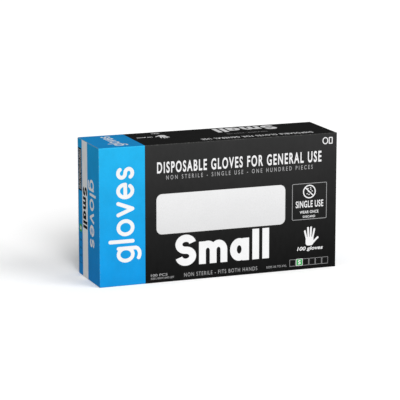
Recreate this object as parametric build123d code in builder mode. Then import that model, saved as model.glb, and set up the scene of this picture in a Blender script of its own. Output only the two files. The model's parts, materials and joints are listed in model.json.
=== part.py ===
from build123d import *

import math
import os

# A dispensing carton of one hundred disposable gloves, standing on its long narrow side.
# Millimetres, +Z up. The origin is the centre of the carton's footprint, on the surface it stands on.
# +X runs along the carton, and the face with the dispensing window looks towards -Y.
# The carton is one creased paperboard blank. Its panels and flaps are separate parts, and each flap
# turns about the round bead on the edge of the part that carries it.

# Carton
LENGTH = 240.0
DEPTH = 64.0
HEIGHT = 132.0
BOARD = 0.5

# Creases between the long panels
CREASE_OUTER = 0.8
CREASE_END_GAP = 0.7

# Flap hinges: a bead on the fixed edge, and the flap's edge just clear of it
BEAD_GAP = 0.05
FLAP_GAP = 0.15
CLOSURE_END_GAP = 0.3

# Tuck tongues
TONGUE_LENGTH = 12.5
TONGUE_LEAN = 8.0
TONGUE_INSET = 0.85
TONGUE_END_GAP = 2.0
TONGUE_CORNER = 9.0

# Dust flaps
DUST_LENGTH = 44.0
DUST_TAPER = 0.65
DUST_FRONT_GAP = 1.0
DUST_REAR_GAP = 2.6
DUST_CORNER = 4.0

# Glued seam
GLUE_FILM = 0.05
GLUE_FLAP_WIDTH = 14.0
GLUE_FLAP_END_GAP = 3.0
GLUE_FLAP_TAPER = 6.0
GLUE_LINE_WIDTH = 9.0
GLUE_LINE_LENGTH = 214.0
GLUE_LINE_CORNER = 3.0

# Dispensing window and its tear-out panel
WINDOW_LENGTH = 130.5
WINDOW_HEIGHT = 38.5
WINDOW_X = 1.5
WINDOW_Z = 65.5
WINDOW_CORNER = 5.5
PERFORATION_GAP = 0.15
NICK_LENGTH = 0.8
NICKS_LONG_SIDE = 13
NICKS_SHORT_SIDE = 4

# Gloves, laid flat
GLOVE_LAYERS = 11
GLOVES_PER_LAYER = 9
GLOVE_FILM = 0.08
GLOVE_THICKNESS = 2 * GLOVE_FILM
GLOVE_PITCH = 0.55
GLOVE_LENGTH = 230.0
CUFF_WIDTH = 88.0
PALM_WIDTH = 84.0
WRIST = 55.0
KNUCKLES = 158.0
FINGER_ROOT = 130.0
THUMB_ACROSS = 22.0
THUMB_LENGTH = 92.0
THUMB_WIDTH = 25.0
THUMB_ANGLE = 31.0
STACK_REAR_GAP = 3.2
STACK_FOOT_GAP = 3.2
GLOVE_SCATTER = 1.4

# Each finger: how far its tip falls short of the longest, its place across the palm, and its width
INDEX_FINGER = (7.0, 31.5, 20.0)
MIDDLE_FINGER = (0.0, 10.5, 20.5)
RING_FINGER = (8.0, -10.5, 20.0)
LITTLE_FINGER = (27.0, -31.5, 19.0)

# Worked out from the above
MID_BOARD = BOARD / 2
CREASE_INNER = CREASE_OUTER - BOARD
CREASE_HALF_LENGTH = LENGTH / 2 - CREASE_END_GAP
FLAT_HALF_DEPTH = DEPTH / 2 - CREASE_OUTER
FLAP_START = MID_BOARD + BEAD_GAP
GLUE_FLAP_Z = BOARD + GLUE_FILM
SEAM_CREASE_Z = GLUE_FLAP_Z + CREASE_OUTER

# Hinge lines
CLOSURE_X = LENGTH / 2 - MID_BOARD
CLOSURE_Y = -(DEPTH / 2 - MID_BOARD)
TONGUE_Y = DEPTH / 2 - TONGUE_INSET
DUST_X = CLOSURE_X - BOARD - FLAP_GAP
DUST_UPPER_Z = HEIGHT - MID_BOARD
DUST_LOWER_Z = MID_BOARD

os.makedirs("parts", exist_ok=True)


def crease_section(centre_y, centre_z, toward_y, toward_z):
    """The quarter ring of board round a crease's centre, on the side away from the carton's middle."""
    align_y = Align.MIN if toward_y > 0 else Align.MAX
    align_z = Align.MIN if toward_z > 0 else Align.MAX
    with BuildSketch(Plane.YZ) as section:
        with Locations((centre_y, centre_z)):
            Circle(CREASE_OUTER)
            Circle(CREASE_INNER, mode=Mode.SUBTRACT)
            Rectangle(CREASE_OUTER, CREASE_OUTER, align=(align_y, align_z), mode=Mode.INTERSECT)
    return section.sketch


# Front panel: the window, the two creases that lead to the long sides, and a bead at each end
front_lower_crease = crease_section(-FLAT_HALF_DEPTH, CREASE_OUTER, -1, -1)
front_upper_crease = crease_section(-FLAT_HALF_DEPTH, HEIGHT - CREASE_OUTER, -1, 1)
with BuildPart() as front_panel:
    with BuildSketch(Plane.XY.offset(CREASE_OUTER)):
        with Locations((0, CLOSURE_Y)):
            SlotOverall(2 * CLOSURE_X + BOARD, BOARD)
    extrude(amount=HEIGHT - 2 * CREASE_OUTER)
    with BuildSketch(Plane.XZ.offset(DEPTH / 2)):
        with Locations((WINDOW_X, WINDOW_Z)):
            RectangleRounded(
                WINDOW_LENGTH + 2 * PERFORATION_GAP,
                WINDOW_HEIGHT + 2 * PERFORATION_GAP,
                WINDOW_CORNER + PERFORATION_GAP,
            )
    extrude(amount=-BOARD, mode=Mode.SUBTRACT)
    extrude(front_lower_crease, amount=CREASE_HALF_LENGTH, both=True)
    extrude(front_upper_crease, amount=CREASE_HALF_LENGTH, both=True)
front_panel.part.label = "front_panel"
export_step(front_panel.part, "parts/front_panel.step")

# Top panel: the upper long side, with a bead at each end for the upper dust flaps
with BuildPart() as top_panel:
    with BuildSketch(Plane.XZ):
        with Locations((0, DUST_UPPER_Z)):
            SlotOverall(2 * DUST_X + BOARD, BOARD)
    extrude(amount=FLAT_HALF_DEPTH, both=True)
top_panel.part.label = "top_panel"
export_step(top_panel.part, "parts/top_panel.step")

# Bottom panel: the lower long side, which ends at the rear in a cut edge
with BuildPart() as bottom_panel:
    with BuildSketch(Plane.XZ.offset(FLAT_HALF_DEPTH)):
        with Locations((0, DUST_LOWER_Z)):
            SlotOverall(2 * DUST_X + BOARD, BOARD)
    extrude(amount=-(FLAT_HALF_DEPTH + DEPTH / 2))
bottom_panel.part.label = "bottom_panel"
export_step(bottom_panel.part, "parts/bottom_panel.step")

# Back panel: the crease to the top panel, and the crease to the glue flap
back_upper_crease = crease_section(FLAT_HALF_DEPTH, HEIGHT - CREASE_OUTER, 1, 1)
back_lower_crease = crease_section(FLAT_HALF_DEPTH, SEAM_CREASE_Z, 1, -1)
with BuildPart() as back_panel:
    with BuildSketch(Plane.XY.offset(SEAM_CREASE_Z)):
        with Locations((0, DEPTH / 2 - MID_BOARD)):
            Rectangle(LENGTH, BOARD)
    extrude(amount=HEIGHT - CREASE_OUTER - SEAM_CREASE_Z)
    extrude(back_upper_crease, amount=CREASE_HALF_LENGTH, both=True)
    extrude(back_lower_crease, amount=CREASE_HALF_LENGTH, both=True)
back_panel.part.label = "back_panel"
export_step(back_panel.part, "parts/back_panel.step")

# Glue flap: folded in from the back panel, lying on the bottom panel
with BuildPart() as glue_flap:
    with BuildSketch(Plane.XY.offset(GLUE_FLAP_Z)):
        with BuildLine():
            Polyline(
                (-(LENGTH / 2 - GLUE_FLAP_END_GAP), FLAT_HALF_DEPTH),
                (LENGTH / 2 - GLUE_FLAP_END_GAP, FLAT_HALF_DEPTH),
                (LENGTH / 2 - GLUE_FLAP_END_GAP - GLUE_FLAP_TAPER, FLAT_HALF_DEPTH - GLUE_FLAP_WIDTH),
                (-(LENGTH / 2 - GLUE_FLAP_END_GAP - GLUE_FLAP_TAPER), FLAT_HALF_DEPTH - GLUE_FLAP_WIDTH),
                close=True,
            )
        make_face()
    extrude(amount=BOARD)
glue_flap.part.label = "glue_flap"
export_step(glue_flap.part, "parts/glue_flap.step")

# Seam glue: the dried line of adhesive between the glue flap and the bottom panel
with BuildPart() as seam_glue:
    with BuildSketch(Plane.XY.offset(BOARD)):
        with Locations((0, FLAT_HALF_DEPTH - GLUE_FLAP_WIDTH / 2)):
            RectangleRounded(GLUE_LINE_LENGTH, GLUE_LINE_WIDTH, GLUE_LINE_CORNER)
    extrude(amount=GLUE_FILM)
seam_glue.part.label = "seam_glue"
export_step(seam_glue.part, "parts/seam_glue.step")

# Tear-out panel: torn out along its perforation to open the window
with BuildPart() as tear_out_panel:
    with BuildSketch(Plane.XZ.offset(DEPTH / 2)):
        with Locations((WINDOW_X, WINDOW_Z)):
            RectangleRounded(WINDOW_LENGTH, WINDOW_HEIGHT, WINDOW_CORNER)
    extrude(amount=-BOARD)
tear_out_panel.part.label = "tear_out_panel"
export_step(tear_out_panel.part, "parts/tear_out_panel.step")

# Perforation nicks: small bridges of board that hold the tear-out panel in
long_pitch = (WINDOW_LENGTH - 2 * WINDOW_CORNER) / NICKS_LONG_SIDE
short_pitch = (WINDOW_HEIGHT - 2 * WINDOW_CORNER) / NICKS_SHORT_SIDE
with BuildPart() as perforation_nicks:
    with BuildSketch(Plane.XZ.offset(DEPTH / 2)):
        for side in (-1, 1):
            with Locations((WINDOW_X, WINDOW_Z + side * (WINDOW_HEIGHT + PERFORATION_GAP) / 2)):
                with GridLocations(long_pitch, 1, NICKS_LONG_SIDE, 1):
                    Rectangle(NICK_LENGTH, PERFORATION_GAP)
            with Locations((WINDOW_X + side * (WINDOW_LENGTH + PERFORATION_GAP) / 2, WINDOW_Z)):
                with GridLocations(1, short_pitch, 1, NICKS_SHORT_SIDE):
                    Rectangle(PERFORATION_GAP, NICK_LENGTH)
    extrude(amount=-BOARD)
perforation_nicks.part.label = "perforation_nicks"
export_step(perforation_nicks.part, "parts/perforation_nicks.step")

for name, side in (("left", -1), ("right", 1)):
    # Closure: covers the whole end, with a bead at its free edge for the tuck tongue
    with BuildPart() as closure:
        with BuildSketch(Plane.XY.offset(CLOSURE_END_GAP)):
            with Locations((side * CLOSURE_X, CLOSURE_Y + FLAP_START)):
                Rectangle(BOARD, TONGUE_Y - CLOSURE_Y - FLAP_START, align=(Align.CENTER, Align.MIN))
            with Locations((side * CLOSURE_X, TONGUE_Y)):
                Circle(MID_BOARD)
        extrude(amount=HEIGHT - 2 * CLOSURE_END_GAP)
    closure.part.label = f"{name}_closure"
    export_step(closure.part, f"parts/{name}_closure.step")

    # Tuck tongue: behind the back panel, leaning a little towards the gloves
    lean = math.radians(TONGUE_LEAN)
    tongue_direction = Vector(-side * math.cos(lean), -math.sin(lean), 0)
    tongue_plane = Plane(
        origin=(side * CLOSURE_X, TONGUE_Y, HEIGHT / 2),
        x_dir=tongue_direction,
        z_dir=tongue_direction.cross(Vector(0, 0, 1)),
    )
    with BuildPart() as tuck_tongue:
        with BuildSketch(tongue_plane) as tongue_outline:
            with Locations((FLAP_START, 0)):
                Rectangle(
                    TONGUE_LENGTH - FLAP_START,
                    HEIGHT - 2 * TONGUE_END_GAP,
                    align=(Align.MIN, Align.CENTER),
                )
            fillet(tongue_outline.vertices().group_by(Axis.X)[-1], TONGUE_CORNER)
        extrude(amount=MID_BOARD, both=True)
    tuck_tongue.part.label = f"{name}_tuck_tongue"
    export_step(tuck_tongue.part, f"parts/{name}_tuck_tongue.step")

    # Dust flaps: folded in under the closure, cut back on the side where the closure is hinged
    for level, hinge_z, inward, tip in (("upper", DUST_UPPER_Z, -1, 0), ("lower", DUST_LOWER_Z, 1, -1)):
        with BuildPart() as dust_flap:
            with BuildSketch(Plane.YZ.offset(side * DUST_X)) as dust_outline:
                with BuildLine():
                    Polyline(
                        (DUST_FRONT_GAP - DEPTH / 2, hinge_z + inward * FLAP_START),
                        (DEPTH / 2 - DUST_REAR_GAP, hinge_z + inward * FLAP_START),
                        (DEPTH / 2 - DUST_REAR_GAP, hinge_z + inward * DUST_LENGTH),
                        (
                            DUST_FRONT_GAP - DEPTH / 2 + DUST_TAPER * DUST_LENGTH,
                            hinge_z + inward * DUST_LENGTH,
                        ),
                        close=True,
                    )
                make_face()
                fillet(dust_outline.vertices().group_by(Axis.Y)[tip], DUST_CORNER)
            extrude(amount=MID_BOARD, both=True)
        dust_flap.part.label = f"{name}_{level}_dust_flap"
        export_step(dust_flap.part, f"parts/{name}_{level}_dust_flap.step")

# One glove, laid flat: the cuff starts at X = 0, the fingers point to +X and the thumb to +Z
with BuildPart() as glove:
    with BuildSketch(Plane.XZ) as glove_outline:
        with BuildLine():
            Polyline(
                (0, -CUFF_WIDTH / 2),
                (WRIST, -PALM_WIDTH / 2),
                (KNUCKLES, -PALM_WIDTH / 2),
                (KNUCKLES, PALM_WIDTH / 2),
                (WRIST, PALM_WIDTH / 2),
                (0, CUFF_WIDTH / 2),
                close=True,
            )
        make_face()
        for shortfall, across, width in (INDEX_FINGER, MIDDLE_FINGER, RING_FINGER, LITTLE_FINGER):
            with Locations((GLOVE_LENGTH - shortfall, across)):
                SlotOverall(
                    GLOVE_LENGTH - shortfall - FINGER_ROOT, width, align=(Align.MAX, Align.CENTER)
                )
        with Locations(Location((WRIST, THUMB_ACROSS, 0), (0, 0, THUMB_ANGLE))):
            SlotOverall(THUMB_LENGTH, THUMB_WIDTH, align=(Align.MIN, Align.CENTER))
    extrude(amount=GLOVE_THICKNESS)
thumb_tip = glove.part.bounding_box().max.Z


def glove_place(order):
    """Where one glove lies, counted from the window. Every other one is turned end for end."""
    turned = order % 2 == 1
    slip_x = GLOVE_SCATTER * math.sin(2.4 * order)
    slip_z = GLOVE_SCATTER * (1 + math.sin(1.7 * order)) / 2
    behind = GLOVE_LAYERS * GLOVES_PER_LAYER - order
    cuff_x = slip_x + (GLOVE_LENGTH / 2 if turned else -GLOVE_LENGTH / 2)
    rear_y = DEPTH / 2 - STACK_REAR_GAP - GLOVE_PITCH * behind
    palm_z = STACK_FOOT_GAP + slip_z + (thumb_tip if turned else CUFF_WIDTH / 2)
    return Location((cuff_x, rear_y, palm_z), (0, 180 if turned else 0, 0))


# Top glove: the one that the window shows
with BuildPart() as top_glove:
    add(glove.part.moved(glove_place(0)))
top_glove.part.label = "top_glove"
export_step(top_glove.part, "parts/top_glove.step")

# The rest of the stack: each layer holds separate gloves
for layer in range(GLOVE_LAYERS):
    with BuildPart() as glove_layer:
        for place in range(GLOVES_PER_LAYER):
            add(glove.part.moved(glove_place(1 + layer * GLOVES_PER_LAYER + place)))
    glove_layer.part.label = f"glove_layer_{layer + 1:02d}"
    export_step(glove_layer.part, f"parts/glove_layer_{layer + 1:02d}.step")
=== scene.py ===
import json
import math

import bmesh
import bpy
import numpy as np
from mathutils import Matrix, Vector


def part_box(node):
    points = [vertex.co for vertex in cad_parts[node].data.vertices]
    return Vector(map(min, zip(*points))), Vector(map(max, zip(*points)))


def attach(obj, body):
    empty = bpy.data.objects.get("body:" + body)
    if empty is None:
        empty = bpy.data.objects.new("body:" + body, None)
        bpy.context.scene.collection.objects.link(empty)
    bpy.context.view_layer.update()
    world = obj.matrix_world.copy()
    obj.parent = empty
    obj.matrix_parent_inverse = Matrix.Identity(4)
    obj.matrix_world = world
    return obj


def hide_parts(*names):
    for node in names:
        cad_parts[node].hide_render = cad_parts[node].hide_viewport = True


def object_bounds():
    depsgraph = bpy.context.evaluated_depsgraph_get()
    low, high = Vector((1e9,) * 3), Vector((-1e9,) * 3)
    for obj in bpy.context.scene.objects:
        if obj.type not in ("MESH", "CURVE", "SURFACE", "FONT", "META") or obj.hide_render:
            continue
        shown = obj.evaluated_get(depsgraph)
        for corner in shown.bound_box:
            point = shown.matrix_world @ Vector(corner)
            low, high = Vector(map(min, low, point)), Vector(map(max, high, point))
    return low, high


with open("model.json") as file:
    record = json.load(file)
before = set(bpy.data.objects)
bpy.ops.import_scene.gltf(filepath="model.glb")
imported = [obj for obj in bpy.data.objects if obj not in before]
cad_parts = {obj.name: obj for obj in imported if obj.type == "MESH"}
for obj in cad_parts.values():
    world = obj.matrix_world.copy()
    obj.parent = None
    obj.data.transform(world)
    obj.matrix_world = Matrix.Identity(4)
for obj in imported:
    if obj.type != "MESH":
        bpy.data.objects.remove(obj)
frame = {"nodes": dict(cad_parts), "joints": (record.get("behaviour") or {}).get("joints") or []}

CAD_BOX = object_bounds()

bl_info = {
    "name": "Glove Dispensing Carton",
    "version": (1, 0, 0),
    "blender": (4, 5, 0),
    "location": "3D View > Sidebar > Glove Carton",
    "description": "Builds the printed board, the lettering and the gloves of a dispensing carton",
    "category": "Object",
}

MM = 0.001
JOINTS = {joint["name"]: joint for joint in frame["joints"]}
OUTER_X = CAD_BOX[1].x
OUTER_Y = CAD_BOX[1].y
OUTER_Z = CAD_BOX[1].z
WINDOW_LOW, WINDOW_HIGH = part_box("tear_out_panel")
BAND_EDGE_X = -75 * MM
CREASE_OUTER = 0.8 * MM
MID_BOARD = 0.25 * MM
WINDOW_CORNER = 5.5 * MM
SHARP_ANGLE = math.radians(38)

# The gap cut round the tear-out panel, and half the length of the creases along the back
WINDOW_GAP = 0.15 * MM
BACK_CREASE_HALF = 119.3 * MM

# How far strokes that cross, and print that lies on print, are moved apart so that they don't share a plane
LIFT = 0.0015 * MM
OVERPRINT = 0.003 * MM

# The headline, and its lower and upper edge on the front and the back, in mm
HEADLINE = "DISPOSABLE GLOVES FOR GENERAL USE"
HEADLINE_FOOT, HEADLINE_TOP = 104.6, 115.4

# Size of the words on the two ends, as a share of the front's
END_BAND_SIZE, END_WORD_SIZE = 0.715, 0.42

# The stripe on each end: its edges along Y
STRIPE_EDGES = (3 * MM, 19 * MM)

# Where the camera looks, in the plane of its picture, from the carton's origin
AIM_RIGHT, AIM_UP = -7.638 * MM, 66.995 * MM

# The top's blue and black, as shares of the front's red, green and blue: a darker copy of the front's print,
# painted shade for the face the light reaches less
TOP_PAINTED_SHADE = ((0.0, 0.68, 0.88), (0.30, 0.30, 0.30))

# The left end's blue, the same way: a darker copy of the front's blue, painted shade for the end turned from
# the light
LEFT_END_PAINTED_SHADE = (0.0, 0.86, 0.97)

# Which finish each face of a board takes
PRINTED, INSIDE, CUT = 0, 1, 2

# One flat glove, in mm from its cuff and its middle line
GLOVE_LENGTH, FINGER_ROOT, KNUCKLES, WRIST = 230.0, 132.0, 158.0, 55.0
CUFF_HALF, PALM_HALF, CUFF_ROLL = 44.0, 42.0, 1.5
THUMB_ACROSS, THUMB_LENGTH, THUMB_WIDTH, THUMB_TURN = 22.0, 92.0, 25.0, math.radians(31)

# Each finger: how far it falls short of the longest, its place across the palm, and its width
FINGERS = ((7.0, 31.5, 20.0), (0.0, 10.5, 20.5), (8.0, -10.5, 20.0), (27.0, -31.5, 19.0))

# The stack of gloves, in mm: clear space behind and below it, and how far a glove slips
STACK_GAP, SCATTER = 3.2, 1.4


# ---------------------------------------------------------------- settings


class BoardSettings(bpy.types.PropertyGroup):
    """Sizes of the carton board and its print"""

    half_thickness: bpy.props.FloatProperty(
        name="Half thickness", description="Half of the board's thickness",
        default=0.23 * MM, min=0.1 * MM, max=0.25 * MM, unit="LENGTH", precision=5,
    )
    dip: bpy.props.FloatProperty(
        name="Dip", description="How far the large faces bow in at their deepest",
        default=0.1 * MM, min=0.0, max=0.3 * MM, unit="LENGTH", precision=5,
    )
    ink: bpy.props.FloatProperty(
        name="Ink", description="Half of the thickness that a printed shape is drawn with",
        default=0.015 * MM, min=0.005 * MM, max=0.018 * MM, unit="LENGTH", precision=6,
    )
    stroke: bpy.props.FloatProperty(
        name="Stroke", description="Width of the strokes of the word on the blue band",
        default=3.6 * MM, min=1 * MM, max=6 * MM, unit="LENGTH", precision=4,
    )


class InkSettings(bpy.types.PropertyGroup):
    """Colours of the print. The blue and black grounds carry painted light at the top and painted shade at
    the foot
    """

    # The band's blue is lighter at its upper edge and deeper at its foot: painted light and painted shade
    blue_lit_top: bpy.props.FloatVectorProperty(
        name="Blue, top", description="The blue band at its upper edge",
        default=(0.012, 0.470, 0.870), min=0.0, max=1.0, size=3, subtype="COLOR",
    )
    blue_shaded_foot: bpy.props.FloatVectorProperty(
        name="Blue, foot", description="The blue band at its lower edge",
        default=(0.000, 0.310, 0.770), min=0.0, max=1.0, size=3, subtype="COLOR",
    )
    # The black ground is lighter at its upper edge as a painted reflection, and darker at its foot as
    # painted shade
    black_lit_top: bpy.props.FloatVectorProperty(
        name="Black, top", description="The black ground at its upper edge",
        default=(0.033, 0.033, 0.033), min=0.0, max=1.0, size=3, subtype="COLOR",
    )
    black_shaded_foot: bpy.props.FloatVectorProperty(
        name="Black, foot", description="The black ground at its lower edge",
        default=(0.004, 0.004, 0.004), min=0.0, max=1.0, size=3, subtype="COLOR",
    )
    white: bpy.props.FloatVectorProperty(
        name="White", description="Unprinted white board",
        default=(0.930, 0.930, 0.935), min=0.0, max=1.0, size=3, subtype="COLOR",
    )
    grey: bpy.props.FloatVectorProperty(
        name="Grey", description="The tint of the small lettering",
        default=(0.420, 0.420, 0.425), min=0.0, max=1.0, size=3, subtype="COLOR",
    )
    green: bpy.props.FloatVectorProperty(
        name="Green", description="The size mark",
        default=(0.045, 0.420, 0.100), min=0.0, max=1.0, size=3, subtype="COLOR",
    )


class GloveSettings(bpy.types.PropertyGroup):
    """Shape and number of the gloves"""

    layers: bpy.props.IntProperty(
        name="Layers", description="Groups of gloves in the stack", default=11, min=1, max=11,
    )
    per_layer: bpy.props.IntProperty(
        name="Per layer", description="Gloves in each group", default=9, min=1, max=9,
    )
    pitch: bpy.props.FloatProperty(
        name="Pitch", description="Distance from one glove to the next",
        default=0.55 * MM, min=0.2 * MM, max=1 * MM, unit="LENGTH", precision=5,
    )
    thickness: bpy.props.FloatProperty(
        name="Thickness", description="Two layers of film",
        default=0.16 * MM, min=0.1 * MM, max=0.5 * MM, unit="LENGTH", precision=5,
    )
    film: bpy.props.FloatVectorProperty(
        name="Film", description="Colour of the nitrile film",
        default=(0.026, 0.026, 0.029), min=0.0, max=1.0, size=3, subtype="COLOR",
    )


class StageSettings(bpy.types.PropertyGroup):
    """Camera, light and floor"""

    azimuth: bpy.props.FloatProperty(
        name="Azimuth", description="The camera's bearing", default=math.radians(-20.786), subtype="ANGLE",
    )
    elevation: bpy.props.FloatProperty(
        name="Elevation", description="The camera's height above the horizon",
        default=math.radians(11.978), subtype="ANGLE",
    )
    distance: bpy.props.FloatProperty(
        name="Distance", description="From the camera to the point that it looks at",
        default=2.0754, unit="LENGTH",
    )
    lens: bpy.props.FloatProperty(name="Lens", description="Focal length in millimetres", default=193.7)
    key: bpy.props.FloatProperty(name="Key", description="Strength of the main light", default=2.5)
    left: bpy.props.FloatProperty(
        name="Left", description="Strength of the light on the left end", default=0.5,
    )
    rear: bpy.props.FloatProperty(
        name="Rear", description="Strength of the light from behind", default=0.3,
    )
    air: bpy.props.FloatProperty(
        name="Air", description="Strength of the light from all round", default=0.29,
    )
    dark_room: bpy.props.FloatProperty(
        name="Dark room", description="What glossy faces mirror", default=0.04,
    )
    overhead: bpy.props.FloatProperty(
        name="Overhead", description="Strength of the light that falls on the floor alone", default=1.60,
    )
    floor_glow: bpy.props.FloatProperty(
        name="Floor glow", description="Light that the floor gives off", default=0.05,
    )


def settings():
    """The four groups of settings of this scene."""
    scene = bpy.context.scene
    return scene.carton_board, scene.carton_ink, scene.carton_gloves, scene.carton_stage


# ---------------------------------------------------------------- surfaces


def quads_of(rows, columns, wrapped=False):
    """The quads between neighbouring points of a grid; wrapped joins its last column to its first."""
    row = np.arange(rows - 1)[:, None]
    column = np.arange(columns if wrapped else columns - 1)[None, :]
    here = row * columns + column
    beside = row * columns + (column + 1) % columns
    return np.stack([here, beside, beside + columns, here + columns], axis=-1).reshape(-1, 4)


def quad_normals(points, quads):
    """Normals of quads: the cross product of their diagonals."""
    corners = points[quads]
    return np.cross(corners[:, 2] - corners[:, 0], corners[:, 3] - corners[:, 1])


def slab(face, depth, wrapped=False, finishes=(PRINTED, INSIDE, CUT)):
    """A closed sheet: the grid of points face, the same grid moved by depth, and walls round its rims.

    Returns its points, its polygons and the finish of each. Faces are turned so that they look away
    from depth on the face's side.
    """
    rows, columns = face.shape[:2]
    count = rows * columns
    depth = np.broadcast_to(np.asarray(depth, float), face.shape)
    points = np.concatenate([face.reshape(-1, 3), (face + depth).reshape(-1, 3)])
    front = quads_of(rows, columns, wrapped)
    index = np.arange(count).reshape(rows, columns)
    if wrapped:
        loops = [index[0], index[-1, ::-1]]
    else:
        loops = [np.concatenate([index[0], index[1:, -1], index[-1, -2::-1], index[-2:0:-1, 0]])]
    walls = [np.stack([np.roll(k, -1), k, k + count, np.roll(k, -1) + count], axis=-1) for k in loops]
    walls = np.concatenate(walls)
    away = np.einsum("ij,ij->i", quad_normals(points, front), depth.reshape(-1, 3)[front[:, 0]])
    quads = np.concatenate([front, front[:, ::-1] + count, walls])
    if away.sum() > 0:
        quads = quads[:, ::-1]
    finish = np.repeat(finishes, [len(front), len(front), len(walls)])
    return points, quads.tolist(), finish


def tube(rings):
    """A closed tube through a grid of rings: rows along it, columns round it, a polygon at each end."""
    rows, columns = rings.shape[:2]
    points = rings.reshape(-1, 3)
    quads = quads_of(rows, columns, wrapped=True)
    out = points[quads].mean(axis=1) - rings.mean(axis=1)[quads[:, 0] // columns]
    ends = [np.arange(columns)[::-1], np.arange(columns) + (rows - 1) * columns]
    if np.einsum("ij,ij->i", quad_normals(points, quads), out).sum() <= 0:
        quads = quads[:, ::-1]
        ends = [end[::-1] for end in ends]
    polygons = quads.tolist() + [end.tolist() for end in ends]
    return points, polygons, np.zeros(len(polygons), int)


def bead(centres, out, side, radius, around=16):
    """A round bead on a board's end: a circle, spanned by X and the way out, carried along the centres."""
    centres = np.asarray(centres, float)
    out = np.broadcast_to(np.asarray(out, float), centres.shape)
    angle = (np.arange(around) + 0.5) * 2 * math.pi / around
    across = np.cos(angle)[None, :, None] * np.array((side, 0, 0))
    ring = across + np.sin(angle)[None, :, None] * out[:, None]
    points, polygons, _ = tube(centres[:, None] + radius * ring)
    middle = angle + math.pi / around
    printed = np.tile(np.cos(middle) + np.sin(middle) > 0.1, len(centres) - 1)
    return points, polygons, np.concatenate([np.where(printed, PRINTED, INSIDE), (CUT, CUT)])


def make_piece(name, body, parts, finishes, replaced=(), smooth=True):
    """Joins parts of points, polygons and finishes into one mesh that rides on a body."""
    offsets = np.cumsum([0] + [len(points) for points, _, _ in parts])
    vertices = np.concatenate([points for points, _, _ in parts])
    polygons = [
        [vertex + int(offset) for vertex in polygon]
        for offset, (_, faces, _) in zip(offsets, parts)
        for polygon in faces
    ]
    mesh = bpy.data.meshes.new(name)
    mesh.from_pydata(vertices.tolist(), [], polygons)
    for finish in finishes:
        mesh.materials.append(finish)
    kinds = np.concatenate([kind for _, _, kind in parts]).astype(np.int32)
    mesh.polygons.foreach_set("material_index", kinds)
    mesh.polygons.foreach_set("use_smooth", np.full(len(mesh.polygons), smooth))
    mesh.set_sharp_from_angle(angle=SHARP_ANGLE)
    mesh.update()
    if mesh.validate():
        raise RuntimeError(f"{name}: the mesh had faults")
    piece = bpy.data.objects.new(name, mesh)
    bpy.context.scene.collection.objects.link(piece)
    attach(piece, body)
    if replaced:
        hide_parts(*replaced)
    return piece


def corner_stations(length, corner, rows=7, inner=6):
    """Places along an edge of this length, close together within the round corner at each end."""
    arc = corner * (1 - np.cos(np.linspace(0, math.pi / 2, rows)))
    middle = np.linspace(corner, length - corner, inner + 2)[1:-1]
    return np.concatenate([arc, middle, length - arc[::-1]])


def corner_inset(stations, length, corner):
    """How far a round-cornered outline draws in at each station: corner less the circle's height."""
    short = np.clip(corner - np.minimum(stations, length - stations), 0, corner)
    return corner - np.sqrt(np.clip(corner**2 - short**2, 0, None))


def sheet_grid(origin, along, across, stations, low, high, columns):
    """Points origin + along * station + across * value; value runs from low to high over the columns."""
    share = np.linspace(0, 1, columns)[None, :, None]
    low = np.broadcast_to(low, stations.shape)[:, None, None]
    high = np.broadcast_to(high, stations.shape)[:, None, None]
    value = low + (high - low) * share
    return np.asarray(origin) + stations[:, None, None] * np.asarray(along) + value * np.asarray(across)


def front_dip(x, z):
    """How far the front face bows in: a product of two half waves, broken by a slower diagonal wave."""
    amount = settings()[0].dip
    base = np.sin(math.pi * np.clip((x + OUTER_X) / (2 * OUTER_X), 0, 1)) * np.sin(
        math.pi * np.clip(z / OUTER_Z, 0, 1)
    )
    wave = 0.5 + 0.5 * np.sin(34 * x + 0.8) * np.cos(27 * z - 0.6)
    return amount * np.clip(base, 0, 1) * wave


def dipped(points):
    """Points on the front face, moved in by the dip at their place."""
    moved = np.array(points, float)
    moved[..., 1] += front_dip(moved[..., 0], moved[..., 2])
    return moved


def rounded_outline(half_length, half_height, corner, per_side=10, per_corner=9):
    """A round-cornered rectangle, counter-clockwise from the lower right: four arcs and four sides."""
    outline = []
    for quarter in range(4):
        start = -math.pi / 2 + quarter * math.pi / 2
        angle = start + np.linspace(0, math.pi / 2, per_corner)
        sign_x = 1 if quarter in (0, 1) else -1
        sign_z = 1 if quarter in (1, 2) else -1
        arc = np.stack(
            [
                sign_x * (half_length - corner) + corner * np.cos(angle),
                sign_z * (half_height - corner) + corner * np.sin(angle),
            ],
            axis=-1,
        )
        outline.append(arc)
    joined = []
    for quarter in range(4):
        joined.append(outline[quarter])
        share = np.linspace(0, 1, per_side + 2)[1:-1, None]
        joined.append(outline[quarter][-1] * (1 - share) + outline[(quarter + 1) % 4][0] * share)
    return np.concatenate(joined)


def corner_crowded_outline(half_length, half_height, spread, per_side=10, per_corner=9):
    """A plain rectangle with the same count of points as rounded_outline, so that a ring can join them.

    The points of each arc go along the two sides that meet in the corner, over the length spread.
    """
    share = np.linspace(-1, 1, per_corner)
    before = np.clip(-share, 0, 1) * spread
    after = np.clip(share, 0, 1) * spread
    arcs = [
        np.stack([half_length - before, -half_height + after], axis=-1),
        np.stack([half_length - after, half_height - before], axis=-1),
        np.stack([-half_length + before, half_height - after], axis=-1),
        np.stack([-half_length + after, -half_height + before], axis=-1),
    ]
    joined = []
    for quarter in range(4):
        joined.append(arcs[quarter])
        step = np.linspace(0, 1, per_side + 2)[1:-1, None]
        joined.append(arcs[quarter][-1] * (1 - step) + arcs[(quarter + 1) % 4][0] * step)
    return np.concatenate(joined)


# ---------------------------------------------------------------- finishes


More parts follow.
